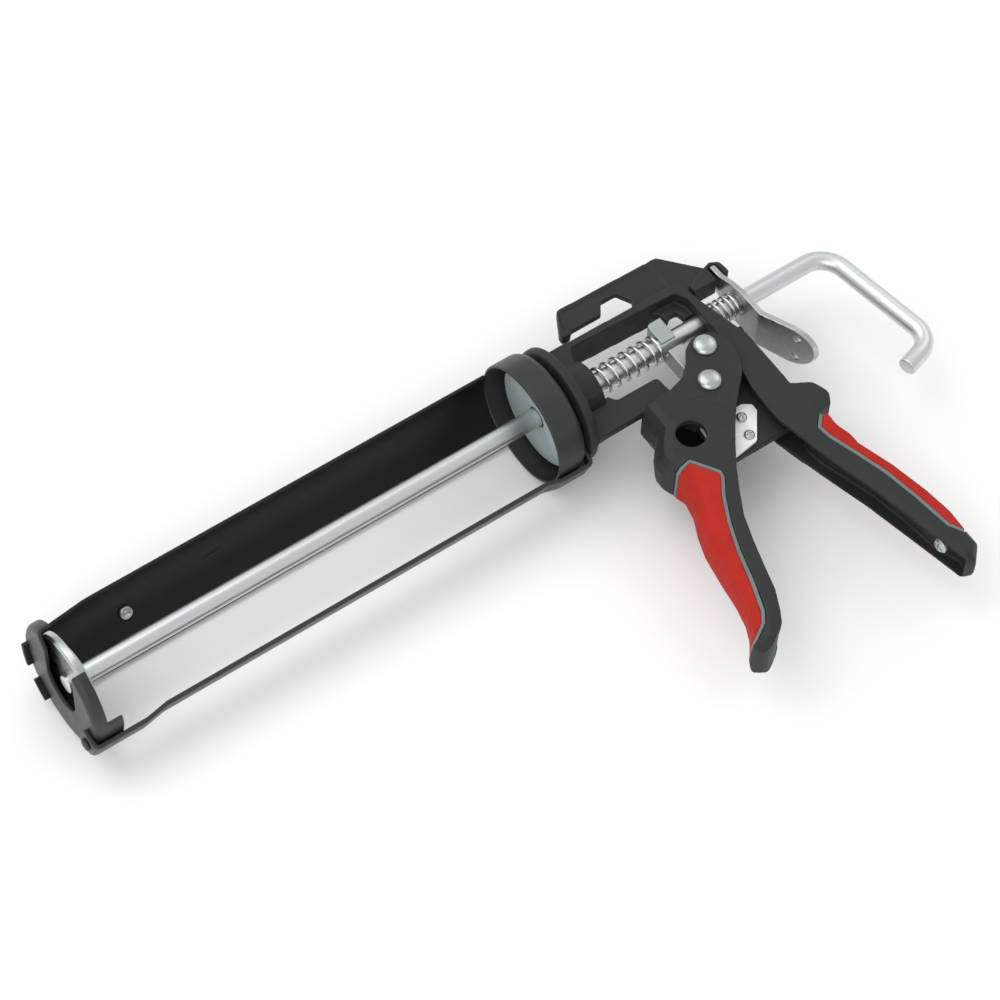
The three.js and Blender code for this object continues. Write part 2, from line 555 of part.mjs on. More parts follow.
function releaseLever() {
  const x = LEVER_X;
  const t = LEVER_THICK;
  const lean = Math.tan(THREE.MathUtils.degToRad(24));
  const foot = -42;
  const out = (-15 - foot) * lean;
  const side = plate([[x, 18.4, 0.8], [x + t, 18.4, 0.8], [x + t, -14.5, 3], [x + t + out + 0.3, foot],
    [x + out, foot], [x, -15, 3]], -13, 13);
  // face outline in the YZ plane, drawn as [y, z]
  const half = [[18.6, 5.2], [12, 5.6], [4, 9], [-3, 10.4], [-16, 10.4], [-28, 11]];
  const round = Array.from({ length: 9 }, (_, i) => {
    const a = (Math.PI * (i + 1)) / 10 - Math.PI / 2;
    return [-28.4 - 11 * Math.cos(a), -11 * Math.sin(a)];
  });
  const points = [...half, ...round, ...half.map(([y, z]) => [y, -z]).reverse()];
  const shape = new THREE.Shape(points.map(([y, z]) => new THREE.Vector2(y, z)));
  const g = new THREE.ExtrudeGeometry(shape, { depth: 40, bevelEnabled: false });
  const toX = new THREE.Matrix4().makeBasis(
    new THREE.Vector3(0, 1, 0),
    new THREE.Vector3(0, 0, 1),
    new THREE.Vector3(1, 0, 0),
  );
  const face = solid(g.applyMatrix4(toX).translate(100, 0, 0));
  const holes = [-6, 6].map((z) => rodX(1.7, 100, 130, 14).translate(0, -31.5, z));
  return cut(side.intersect(face), rodX(ROD_R + 0.7, 100, 130, 24), ...holes);
}

const mainSpring = () => bar(new Helix(27.4, BLOCK_X - GAP - 0.7, 5.6, 10, 1.4), 0.7, 100, 6);
const leverSpring = () => bar(new Helix(93.3, LEVER_X - GAP - 0.6, 5.3, 6, 1.1), 0.55, 60, 6);

// ---- Scene graph ----

const gun = new THREE.Group();

function mesh(name, made, finish) {
  const m = made.getMesh();
  const g = new THREE.BufferGeometry();
  g.setAttribute("position", new THREE.BufferAttribute(new Float32Array(m.vertProperties), 3));
  g.setIndex(new THREE.BufferAttribute(new Uint32Array(m.triVerts), 1));
  g.computeVertexNormals();
  const node = new THREE.Mesh(g, new THREE.MeshStandardMaterial(FINISH[finish]));
  node.name = name;
  return node;
}

function assembly(...nodes) {
  const group = new THREE.Group();
  group.add(...nodes.map(([name, made, finish]) => mesh(name, made, finish)));
  gun.add(group);
}

assembly(
  ["frame_housing", finishedFrame(), "plastic"],
  ["retaining_nut", retainingNut(), "zinc"],
  ["handle_grip", handleGrip(), "red"],
  ["handle_border", handleBorder(), "grey"],
  ["handle_screw", handleScrew(), "zinc"],
  ["cutter_blade", blade(), "zinc"],
  ...BLADE_SCREWS.map((at, i) => ["blade_screw_" + (i + 1), bladeScrew(at), "zinc"]),
  ["pivot_rivet", rivet(PIVOT, RIVET_R), "zinc"],
  ["main_spring", mainSpring(), "zinc"],
  ["lever_spring", leverSpring(), "zinc"],
);
assembly(
  ["rear_cup", rearCup(), "powder"],
  ["backing_disc", backingDisc(), "zinc"],
  ["trough", trough(), "powder"],
  ["front_cap", frontCap(), "powder"],
  ["strap", strap(), "powder"],
  ["strap_rivet", strapRivet(), "powder"],
  ["piercer_rivet", piercerRivet(), "zinc"],
  ["seal_piercer", sealPiercer(), "zinc"],
);
assembly(
  ["pusher_disc", pusherDisc(), "zinc"],
  ["pusher_backing", pusherBacking(), "zinc"],
  ["pull_rod", pullRod(), "zinc"],
);
assembly(
  ["trigger", trigger(), "plastic"],
  ["trigger_grip", triggerGrip(), "red"],
  ["trigger_border", triggerBorder(), "grey"],
  ["push_pin", rivet(PUSH_PIN, RIVET_R - 0.5), "zinc"],
  ["push_roller", roller(), "zinc"],
);
assembly(["drive_block", driveBlock(), "zinc"]);
assembly(["release_lever", releaseLever(), "zinc"]);

gun.position.copy(SHIFT);

export default gun;
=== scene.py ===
"""A cradle caulking gun lying on its right side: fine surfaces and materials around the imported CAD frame.

Pieces are modelled in gun millimetres: X along the pull rod with 0 at the front rim of the rear cup, Y toward
the hang hook, Z up, and the rod's axis at Y = Z = 0. piece() carries each one into the CAD's frame, in metres.
"""
import math

import bmesh
import bpy
from mathutils import Matrix, Vector


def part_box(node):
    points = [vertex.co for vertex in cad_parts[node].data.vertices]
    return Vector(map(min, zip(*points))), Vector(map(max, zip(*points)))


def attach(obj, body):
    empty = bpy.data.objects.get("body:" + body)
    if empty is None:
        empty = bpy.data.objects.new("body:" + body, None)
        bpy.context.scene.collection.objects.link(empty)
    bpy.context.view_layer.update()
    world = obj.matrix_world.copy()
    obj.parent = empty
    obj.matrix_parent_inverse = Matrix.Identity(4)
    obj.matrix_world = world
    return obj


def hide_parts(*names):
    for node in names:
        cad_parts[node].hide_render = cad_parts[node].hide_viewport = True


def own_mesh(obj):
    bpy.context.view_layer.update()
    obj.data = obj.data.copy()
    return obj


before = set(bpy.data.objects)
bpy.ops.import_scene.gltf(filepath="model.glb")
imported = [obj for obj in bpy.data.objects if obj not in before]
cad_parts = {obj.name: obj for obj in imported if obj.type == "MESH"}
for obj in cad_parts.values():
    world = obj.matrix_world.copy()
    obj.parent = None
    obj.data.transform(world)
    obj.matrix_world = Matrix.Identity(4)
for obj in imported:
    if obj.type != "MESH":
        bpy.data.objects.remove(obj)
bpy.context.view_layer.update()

MM = 0.001
CUP_LOW, CUP_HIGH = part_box("rear_cup")
ORIGIN = Vector((CUP_LOW.x, (CUP_LOW.y + CUP_HIGH.y) / 2, (CUP_LOW.z + CUP_HIGH.z) / 2))
TO_ROW = Matrix.Translation(ORIGIN) @ Matrix.Scale(MM, 4)
FROM_ROW = TO_ROW.inverted()
ALONG_X = Matrix.Rotation(math.pi / 2, 4, "Y")  # turns a local Z axis to the rod's direction
YZ_TO_X = Matrix(((0, 0, 1, 0), (1, 0, 0, 0), (0, 1, 0, 0), (0, 0, 0, 1)))  # a YZ outline, drawn out along X

ROD_R = 4
CUP_R = 27
SHEET = 1.4
TROUGH_R = 26.9
TROUGH_DEG = (-72, 10)  # angles of the trough's edges round the rod, from +Y toward +Z
TROUGH_MID_DEG = -31
NECK_R = 24.8  # outside of the trough's narrow front end and of its tabs
TAB_DEG = ((-27, 2), (-66, -43))  # the trough's two tabs, which pass through slots in the front cap
SLOT_SLACK_DEG = 0.3
CAP_X = -217.5
PUSHER_X = -213.6
PIERCER_X = -175
STRAP_DEG = 20  # the strap lies this far below the horizontal
PIVOT_AT = (70.9, -30.7)
PIN_AT = (79.6, -15.9)
RIVET_SEAT = 12.15  # underside of a rivet's head, over the middle plane
BEYOND = 60  # a radius outside everything, for wedges that cut
LARGE = 160  # sides of a large turned piece


# ---- Camera, floor and light ----


SENSOR_MM = 36
LENS_MM = 133.8
CAMERA_AT = (-0.49148, -0.59652, 1.27296)
CAMERA_RIGHT = Vector((0.8179, -0.5746, 0.0310))
CAMERA_UP = Vector((0.4704, 0.6986, 0.5392))
WORLD_COLOUR = (0.97, 1.0, 0.995, 1)
WORLD_STRENGTH = 0.78
FLOOR_REACH = 4.0


def set_camera():
    data = bpy.data.cameras.new("camera")
    data.sensor_width = SENSOR_MM
    data.lens = LENS_MM
    camera = bpy.data.objects.new("camera", data)
    back = CAMERA_RIGHT.cross(CAMERA_UP)
    turn = Matrix((CAMERA_RIGHT, CAMERA_UP, back)).transposed().to_4x4()
    camera.matrix_world = Matrix.Translation(CAMERA_AT) @ turn
    bpy.context.scene.collection.objects.link(camera)
    bpy.context.scene.camera = camera


def add_light(name, place, size, watts):
    """A square lamp aimed at the middle of the object"""
    data = bpy.data.lights.new(name, "AREA")
    data.size = size
    data.energy = watts
    light = bpy.data.objects.new(name, data)
    light.location = place
    light.rotation_euler = (-Vector(place)).to_track_quat("-Z", "Y").to_euler()
    bpy.context.scene.collection.objects.link(light)


def set_stage():
    scene = bpy.context.scene
    scene.view_settings.view_transform = "Standard"
    world = bpy.data.worlds.new("studio")
    world.use_nodes = True
    world.node_tree.nodes["Background"].inputs["Color"].default_value = WORLD_COLOUR
    world.node_tree.nodes["Background"].inputs["Strength"].default_value = WORLD_STRENGTH
    scene.world = world
    mesh = bpy.data.meshes.new("floor")
    corners = [(FLOOR_REACH * a, FLOOR_REACH * b, 0) for a, b in ((-1, -1), (1, -1), (1, 1), (-1, 1))]
    mesh.from_pydata(corners, [], [(0, 1, 2, 3)])
    floor = bpy.data.objects.new("floor", mesh)
    scene.collection.objects.link(floor)
    mesh.materials.append(plain_material("floor_paper", (0.96, 0.96, 0.96), 0.95))
    add_light("key", (-0.5, 0.9, 1.5), 1.8, 12)
    add_light("fill", (-1.3, -0.9, 1.2), 1.6, 10)
    add_light("rim", (1.2, 0.3, 1.1), 0.9, 2)


# ---- Materials ----


def plain_material(name, colour, roughness):
    material = bpy.data.materials.new(name)
    material.use_nodes = True
    shader = material.node_tree.nodes["Principled BSDF"]
    shader.inputs["Base Color"].default_value = (*colour, 1)
    shader.inputs["Roughness"].default_value = roughness
    return material


def noise(tree, coords, scale, detail, stretch):
    """A noise texture in the object's own metres; stretch scales the three axes."""
    if stretch:
        mapping = tree.nodes.new("ShaderNodeMapping")
        mapping.inputs["Scale"].default_value = stretch
        tree.links.new(coords, mapping.inputs["Vector"])
        coords = mapping.outputs["Vector"]
    texture = tree.nodes.new("ShaderNodeTexNoise")
    texture.inputs["Scale"].default_value = scale
    texture.inputs["Detail"].default_value = detail
    tree.links.new(coords, texture.inputs["Vector"])
    return texture.outputs["Fac"]


def ramp(tree, value, low, high, start, end):
    """value from start..end carried to a colour or grey between low and high"""
    node = tree.nodes.new("ShaderNodeValToRGB")
    node.color_ramp.elements[0].position = start
    node.color_ramp.elements[1].position = end
    node.color_ramp.elements[0].color = low
    node.color_ramp.elements[1].color = high
    tree.links.new(value, node.inputs["Fac"])
    return node.outputs["Color"]


def grey(value):
    return (value, value, value, 1)


def surface(name, colour, dark, rough, metallic=0.0, blotch=60, grain=2500, grain_height=0.02,
            stretch=None, wear=None, specular=0.5):
    """A finish with blotches from dark to colour, gloss between the two values of rough, and a fine grain.

    grain_height is in millimetres, stretch scales the texture's axes, and wear is the colour of worn edges.
    """
    material = plain_material(name, colour, rough[0])
    tree = material.node_tree
    shader = tree.nodes["Principled BSDF"]
    shader.inputs["Metallic"].default_value = metallic
    shader.inputs["Specular IOR Level"].default_value = specular
    coords = tree.nodes.new("ShaderNodeTexCoord").outputs["Object"]
    colour_out = ramp(tree, noise(tree, coords, blotch, 4, stretch), (*dark, 1), (*colour, 1), 0.3, 0.7)
    if wear:
        pointed = tree.nodes.new("ShaderNodeNewGeometry").outputs["Pointiness"]
        edge = ramp(tree, pointed, grey(0), grey(1), 0.53, 0.62)
        mix = tree.nodes.new("ShaderNodeMix")
        mix.data_type = "RGBA"
        tree.links.new(edge, mix.inputs["Factor"])
        tree.links.new(colour_out, mix.inputs["A"])
        mix.inputs["B"].default_value = (*wear, 1)
        colour_out = mix.outputs["Result"]
    tree.links.new(colour_out, shader.inputs["Base Color"])
    uneven = noise(tree, coords, blotch * 2.3, 5, stretch)
    gloss = ramp(tree, uneven, grey(rough[0]), grey(rough[1]), 0.35, 0.65)
    tree.links.new(gloss, shader.inputs["Roughness"])
    bump = tree.nodes.new("ShaderNodeBump")
    bump.inputs["Strength"].default_value = 0.6
    bump.inputs["Distance"].default_value = grain_height * MM
    tree.links.new(noise(tree, coords, grain, 2, stretch), bump.inputs["Height"])
    tree.links.new(bump.outputs["Normal"], shader.inputs["Normal"])
    return material


ALONG_ROD = (0.03, 1, 1)
PLASTIC = surface("charcoal_plastic", (0.021, 0.0225, 0.022), (0.018, 0.0195, 0.019), (0.48, 0.58),
                  grain=2600, grain_height=0.012, wear=(0.042, 0.044, 0.043), specular=0.32)
# The next two materials are one black powder coat in two shades: the darker one, on the trough, is painted
# shade; the lighter one, on cup, front cap and strap, is painted light.
POWDER_SHADED = surface("black_powder_coat", (0.008, 0.009, 0.009), (0.006, 0.007, 0.007), (0.36, 0.44),
                 grain=900, grain_height=0.012, wear=(0.03, 0.032, 0.032), specular=0.28)
POWDER_LIT = surface("black_powder_coat_lit_copy", (0.026, 0.028, 0.028), (0.021, 0.023, 0.023), (0.38, 0.46),
                     grain=900, grain_height=0.012, wear=(0.05, 0.053, 0.053), specular=0.42)
RED = surface("red_soft_grip", (0.46, 0.022, 0.015), (0.4, 0.018, 0.012), (0.7, 0.82),
              blotch=120, grain=1500, grain_height=0.05, specular=0.18)
GREY = surface("grey_soft_border", (0.17, 0.195, 0.195), (0.15, 0.172, 0.172), (0.6, 0.7), blotch=150,
               grain_height=0.01, specular=0.3)
ZINC = surface("bright_zinc", (0.5, 0.525, 0.52), (0.46, 0.485, 0.48), (0.26, 0.32), 1.0,
               blotch=120, grain=1800, grain_height=0.0015)
ZINC_ROD = surface("drawn_zinc_rod", (0.67, 0.695, 0.69), (0.62, 0.645, 0.64), (0.32, 0.4), 1.0,
                   blotch=900, grain=3500, grain_height=0.002, stretch=ALONG_ROD)
ZINC_SATIN = surface("satin_zinc", (0.41, 0.44, 0.43), (0.37, 0.4, 0.39), (0.42, 0.5), 0.7,
                     blotch=90, grain=2200, grain_height=0.004)
# Dull zinc, partly its own duller finish and partly painted light: its colour is raised so that the backing
# disc, in the cup's shade, reads as lit.
DULL_ZINC_AND_PAINTED_LIGHT = surface("dull_zinc_painted_light", (0.5, 0.575, 0.585), (0.46, 0.53, 0.54), (0.48, 0.56), 0.3,
                    blotch=90, grain=2200, grain_height=0.003)
WIRE = surface("spring_wire", (0.74, 0.77, 0.76), (0.68, 0.7, 0.7), (0.22, 0.3), 1.0, blotch=400,
               grain_height=0.001)
# Ground steel given a near-white colour and little metal: its bright reflection is painted into the colour.
BLADE_PAINTED_REFLECTION = surface("ground_blade_painted_reflection", (0.88, 0.91, 0.9), (0.85, 0.88, 0.87), (0.36, 0.44), 0.15,
                blotch=150, grain=3000, grain_height=0.003, stretch=(1, 0.1, 1))


# ---- Mesh helpers, in gun millimetres ----


def object_of(name, bm):
    bmesh.ops.recalc_face_normals(bm, faces=bm.faces)
    mesh = bpy.data.meshes.new(name)
    bm.to_mesh(mesh)
    bm.free()
    obj = bpy.data.objects.new(name, mesh)
    bpy.context.scene.collection.objects.link(obj)
    return obj


def applied(obj):
    """obj with its modifiers worked into its mesh"""
    bpy.context.view_layer.update()
    graph = bpy.context.evaluated_depsgraph_get()
    mesh = bpy.data.meshes.new_from_object(obj.evaluated_get(graph))
    obj.modifiers.clear()
    obj.data = mesh
    return obj


def moulded(obj, voxel, passes, keep, swell=0.0):
    """Rounds every edge: an even fine mesh, smoothed, swollen if asked, then thinned to a share of its faces"""
    remesh = obj.modifiers.new("remesh", "REMESH")
    remesh.mode = "VOXEL"
    remesh.voxel_size = voxel
    smooth = obj.modifiers.new("smooth", "SMOOTH")
    smooth.iterations = passes
    smooth.factor = 0.5
    if swell:
        fuller = obj.modifiers.new("fuller", "DISPLACE")
        fuller.strength = swell
        fuller.mid_level = 0
    thin = obj.modifiers.new("thin", "DECIMATE")
    thin.ratio = keep
    return applied(obj)


def cad_copy(*nodes):
    bm = bmesh.new()
    for node in nodes:
        bm.from_mesh(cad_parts[node].data)
    bm.transform(FROM_ROW)
    bmesh.ops.remove_doubles(bm, verts=bm.verts, dist=0.002)
    return object_of("copy", bm)


def joined(first, *others):
    bm = bmesh.new()
    for obj in (first, *others):
        bm.from_mesh(obj.data)
    for obj in (first, *others):
        bpy.data.objects.remove(obj)
    return object_of("joined", bm)


def cut(obj, *cutters, operation="DIFFERENCE"):
    for cutter in cutters:
        modifier = obj.modifiers.new("cut", "BOOLEAN")
        modifier.object = cutter
        modifier.operation = operation
        modifier.solver = "EXACT"
    applied(obj)
    for cutter in cutters:
        bpy.data.objects.remove(cutter)
    return obj


def bevelled(obj, width, segments=3, angle=30):
    bevel = obj.modifiers.new("bevel", "BEVEL")
    bevel.width = width
    bevel.segments = segments
    bevel.limit_method = "ANGLE"
    bevel.angle_limit = math.radians(angle)
    return applied(obj)


def on_circle(radius, angle):
    return radius * math.cos(angle), radius * math.sin(angle)


def wedge(degrees):
    """An outline from the rod's axis out past everything, through the given angles"""
    return [(0, 0), *[on_circle(BEYOND, math.radians(d)) for d in degrees]]


def ring_part(low, high, outer, inner, count):
    """The outline of a part of a ring between two angles in degrees"""
    a, b = math.radians(low), math.radians(high)
    angles = [a + (b - a) * k / count for k in range(count + 1)]
    return [on_circle(outer, t) for t in angles] + [on_circle(inner, t) for t in reversed(angles)]


def rounded_line(points, steps=6, closed=True):
    """A line of (a, b) or (a, b, radius of the round at that corner), with its rounds drawn out"""
    line = []
    last = len(points) - 1
    for i, point in enumerate(points):
        here = Vector(point[:2])
        if len(point) < 3 or (not closed and i in (0, last)):
            line.append(here)
            continue
        before = Vector(points[i - 1][:2]) - here
        after = Vector(points[0 if i == last else i + 1][:2]) - here
        half = before.angle(after) / 2
        run = min(point[2] / math.tan(half), before.length / 2.01, after.length / 2.01)
        radius = run * math.tan(half)
        middle = (before.normalized() + after.normalized()).normalized()
        centre = here + middle * (radius / math.sin(half))
        start = here + before.normalized() * run - centre
        end = here + after.normalized() * run - centre
        line += [centre + radius * start.slerp(end, k / steps) for k in range(steps + 1)]
    return line


def turned(profile, matrix=ALONG_X, sides=96, steps=6):
    """A body turned about a local Z axis; profile points are (radius, height[, round])"""
    bm = bmesh.new()
    closed = profile[0][0] > 0
    rings = []
    for radius, height in rounded_line(profile, steps, closed):
        if radius < 1e-6:
            rings.append([bm.verts.new((0, 0, height))])
            continue
        angles = [2 * math.pi * k / sides for k in range(sides)]
        rings.append([bm.verts.new((radius * math.cos(a), radius * math.sin(a), height)) for a in angles])
    pairs = list(zip(rings, rings[1:])) + ([(rings[-1], rings[0])] if closed else [])
    for one, two in pairs:
        for k in range(sides):
            n = (k + 1) % sides
            corners = [one[k % len(one)], one[n % len(one)], two[n % len(two)], two[k % len(two)]]
            bm.faces.new(list(dict.fromkeys(corners)))
    bm.transform(matrix)
    return object_of("turned", bm)


def plate(outline, z0, z1, matrix=Matrix.Identity(4), steps=6):
    """A plate with its outline in XY between two heights"""
    bm = bmesh.new()
    line = rounded_line(outline, steps)
    low = [bm.verts.new((x, y, z0)) for x, y in line]
    high = [bm.verts.new((x, y, z1)) for x, y in line]
    bm.faces.new(low)
    bm.faces.new(high)
    for k in range(len(line)):
        bm.faces.new([low[k - 1], low[k], high[k], high[k - 1]])
    bm.transform(matrix)
    return object_of("plate", bm)


def swept(points, radius, sides):
    """A round bar along 3D points, with its section carried without twist"""
    bm = bmesh.new()
    rings = []
    normal = None
    for i, point in enumerate(points):
        ahead = (points[min(i + 1, len(points) - 1)] - points[max(i - 1, 0)]).normalized()
        if normal is None:
            normal = ahead.orthogonal().normalized()
        normal = (normal - ahead * normal.dot(ahead)).normalized()
        side = ahead.cross(normal)
        angles = [2 * math.pi * k / sides for k in range(sides)]
        rings.append([bm.verts.new(point + radius * (normal * math.cos(a) + side * math.sin(a)))
                      for a in angles])
    for one, two in zip(rings, rings[1:]):
        for k in range(sides):
            bm.faces.new([one[k - 1], one[k], two[k], two[k - 1]])
    bm.faces.new(rings[0])
    bm.faces.new(rings[-1])
    return object_of("swept", bm)


def piece(name, obj, body, material, nodes, sharp=40):
    """Names the piece, carries it to the CAD's frame, gives it its body and finish, and hides the CAD nodes it
    stands in for
    """
    mesh = obj.data
    mesh.transform(TO_ROW)
    mesh.materials.clear()
    mesh.materials.append(material)
    mesh.shade_smooth()
    mesh.set_sharp_from_angle(angle=math.radians(sharp))
    mesh.name = obj.name = name
    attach(obj, body)
    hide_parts(*nodes)
    return obj


# ---- Cradle ----


def rear_cup():
    r, w, depth = CUP_R, SHEET, 14
    cup = turned([(r - w, 0, 0.5), (r, 0, 0.6), (r, depth, 4), (9.6, depth, 0.3), (9.6, depth - w, 0.3),
                  (r - w, depth - w, 2.8)], sides=LARGE)
    piece("rear_cup_shell", cup, "barrel", POWDER_LIT, ["rear_cup"])


def backing_disc():
    disc = turned([(4.7, 7.5, 0.2), (22.7, 7.5, 0.5), (22.7, 9.1, 0.5), (4.7, 9.1, 0.2)], sides=128)
    piece("cup_disc", disc, "barrel", DULL_ZINC_AND_PAINTED_LIGHT, ["backing_disc"])


def on_trough(x, degrees):
    """A frame at the trough: local X along the rod, local Z outward"""
    a = math.radians(degrees)
    out = Vector((0, math.cos(a), math.sin(a)))
    along = Vector((1, 0, 0))
    turn = Matrix((along, out.cross(along), out)).transposed().to_4x4()
    return Matrix.Translation((x, 0, 0)) @ turn


def trough():
    bm = bmesh.new()
    stations = rounded_line([(-0.3, TROUGH_R), (-190, TROUGH_R, 60), (-210, NECK_R, 12), (-214.5, NECK_R)],
                            8, False)
    fine = 56
    rows = []
    for x, r in stations:
        angles = [math.radians(TROUGH_DEG[0] + (TROUGH_DEG[1] - TROUGH_DEG[0]) * k / fine)
                  for k in range(fine + 1)]
        rows.append([[bm.verts.new((x, q * math.cos(a), q * math.sin(a))) for a in angles]
                     for q in (r, r - SHEET)])
    for one, two in zip(rows, rows[1:]):
        for k in range(fine):
            for side in (0, 1):
                bm.faces.new([one[side][k], one[side][k + 1], two[side][k + 1], two[side][k]])
        for k in (0, fine):
            bm.faces.new([one[0][k], two[0][k], two[1][k], one[1][k]])
    for row in (rows[0], rows[-1]):
        for k in range(fine):
            bm.faces.new([row[0][k], row[0][k + 1], row[1][k + 1], row[1][k]])
    shell = object_of("trough", bm)
    bead = plate([(-4, -0.7, 0.6), (4, -0.7, 0.6), (4, 0.7, 0.6), (-4, 0.7, 0.6)], 25.25, 26,
                 on_trough(-132.5, -22))
    tabs = [bevelled(plate(ring_part(low, high, NECK_R, 23, 10), -219.8, -214.2, YZ_TO_X), 0.4, 3, 50)
            for low, high in TAB_DEG]
    shell = joined(bevelled(shell, 0.35, 3, 50), bevelled(bead, 0.15, 2, 50), *tabs)
    piece("trough_sheet", shell, "barrel", POWDER_SHADED, ["trough"])


def front_cap():
    x, r, w = CAP_X, CUP_R, SHEET
    dish = turned([(0, x), (r, x, 3), (r, x + 6, 0.5), (r - w, x + 6, 0.5), (r - w, x + 1.6, 1.8),
                   (0, x + 1.6)], sides=LARGE)
    ring = turned([(r, x + 3.5), (r, x + 12.5), (r - w, x + 12.5), (r - w, x + 3.5)], sides=LARGE)
    all_but_ear = wedge((230, 270, 310, 350, 390, 430, 480, 530))
    ear = cut(ring, plate(all_but_ear, x - 1, x + 14, YZ_TO_X))
    nozzle_r = 10.2
    foot = [on_circle(nozzle_r, math.radians(d)) for d in range(180, 361, 6)]
    nozzle_slot = [(-11.2, 40), *[(-1 + y, 1 + z) for y, z in foot], (9.2, 40)]
    cutters = [plate(outline, x - 1, x + 9, YZ_TO_X) for outline in (nozzle_slot, wedge((58, 87, 116)))]
    for low, high in TAB_DEG:
        edge = ring_part(low - SLOT_SLACK_DEG, high + SLOT_SLACK_DEG, 25.1, 22.7, 8)
        cutters.append(plate(edge, x - 1, x + 2.2, YZ_TO_X))
    cap = moulded(joined(cut(dish, *cutters), ear), 0.28, 4, 0.35)
    piece("front_cap_shell", cap, "barrel", POWDER_LIT, ["front_cap"])


def strap():
    outside = [(16.1, -18.5), (16.1, -29.1, 3), (1, -29.1, 8), (-6, -27.4, 8), (-186, -27.4, 12),
               (-196, -29.1, 12), (-219.6, -29.1, 2.8), (-219.6, -19.5)]
    inside = [(-217.8, -19.5), (-217.8, -27.3, 1.1), (-195.5, -27.3, 12), (-185.5, -25.6, 12),
              (-6.5, -25.6, 8), (0.5, -27.3, 8), (14.3, -27.3, 1.3), (14.3, -18.5)]
    half_width = 6
    lower = Matrix.Rotation(math.radians(STRAP_DEG), 4, "X")
    band = bevelled(plate([*outside, *inside], -half_width, half_width, lower, steps=10), 0.4, 3, 40)
    piece("strap_band", band, "barrel", POWDER_LIT, ["strap"])
    place = lower @ Matrix.Translation((-219.9, -24, 0)) @ Matrix.Rotation(-math.pi / 2, 4, "Y")
    head = turned([(0, 0), (3, 0, 0.3), (2.6, 1, 0.8), (0, 1.6)], place, 48)
    piece("strap_rivet_head", head, "barrel", POWDER_LIT, ["strap_rivet"])


def seal_piercer():
    at = on_trough(PIERCER_X, TROUGH_MID_DEG)
    rivet = turned([(0, 24.9), (1.1, 24.7, 0.3), (1.7, 23.9, 0.5), (2.6, 24.1, 0.5), (3.2, 25.1, 0.3),
                    (1.6, 25.1), (1.6, 31.2), (3.2, 31.2, 0.3), (2.6, 32.3, 0.6), (0, 32.6)], at, 48)
    piece("piercer_rivet_body", rivet, "barrel", ZINC, ["piercer_rivet"])
    height = TROUGH_R + 2.1
    low, high = height - 1.1, height + 1.1
    eye = turned([(1.9, low, 0.4), (4, low, 0.5), (4, high, 0.5), (1.9, high, 0.4)], at, 48)
    wire = swept([at @ Vector((3 + 37 * k / 12, 0, height)) for k in range(13)], 1.3, 24)
    tip = turned([(0, 40), (1.3, 40), (0, 44)], at @ Matrix.Translation((0, 0, height)) @ ALONG_X, 24)
    hook = moulded(joined(eye, wire, tip), 0.22, 3, 0.5)
    piece("piercer_wire", hook, "piercer", ZINC, ["seal_piercer"])


# ---- Plunger and pull rod ----


def plunger():
    x = PUSHER_X
    bore = ROD_R + 0.3
    front = [(bore, x + 0.6, 0.2), (9, x + 0.6, 6), (17, x + 0.2, 6), (20.2, x - 0.3, 1), (21.2, x + 0.4, 0.8)]
    rear = [(21.3, x + 3.2, 0.3), (20.1, x + 3.2, 0.3), (19.8, x + 1.4, 0.5), (17, x + 1.6, 4), (9, x + 2, 4),
            (bore, x + 2, 0.2)]
    disc = turned([*front, *rear], sides=LARGE)
    piece("pusher_dish", disc, "plunger", ZINC, ["pusher_disc"])
    back = turned([(bore, x + 2.3, 0.2), (8.6, x + 2.4, 2), (12, x + 4, 1.5), (14.4, x + 4, 0.4),
                   (14.4, x + 5.4, 0.4), (11.4, x + 5.4, 1.5), (8, x + 3.8, 2), (bore, x + 3.6, 0.2)], sides=96)
    piece("pusher_back_plate", back, "plunger", DULL_ZINC_AND_PAINTED_LIGHT, ["pusher_backing"])


def pull_rod():
    corners = [(PUSHER_X - 1.4, 0), (155, 0, 12.5), (165, -59.5, 12.5), (147.5, -64.6)]
    line = rounded_line(corners, 14, False)
    fine = [line[0].lerp(line[1], k / 40) for k in range(40)]
    points = [Vector((p.x, p.y, 0)) for p in [*fine, *line[1:]]]
    bar = bevelled(swept(points, ROD_R, 48), 0.7, 4, 60)
    piece("rod_bar", bar, "pull_rod", ZINC_ROD, ["pull_rod"])


# ---- Frame ----


def frame_housing():
    # The flange's cone overlaps the rear end of the strap; a step at radius 17 to height 16.8 would clear it.
    flange = turned([(17, 14.3, 0.6), (25.5, 16.7, 1.4), (25.5, 20.7, 1.4), (7.2, 20.7), (7.2, 14.3)],
                    sides=LARGE)
    boss = turned([(7, 20), (12, 20), (12, 34, 0.8), (7, 34, 0.6)], sides=96)
    body = moulded(joined(cad_copy("frame_housing"), flange, boss), 0.42, 5, 0.25)
    piece("frame_moulding", body, "frame", PLASTIC, ["frame_housing"])


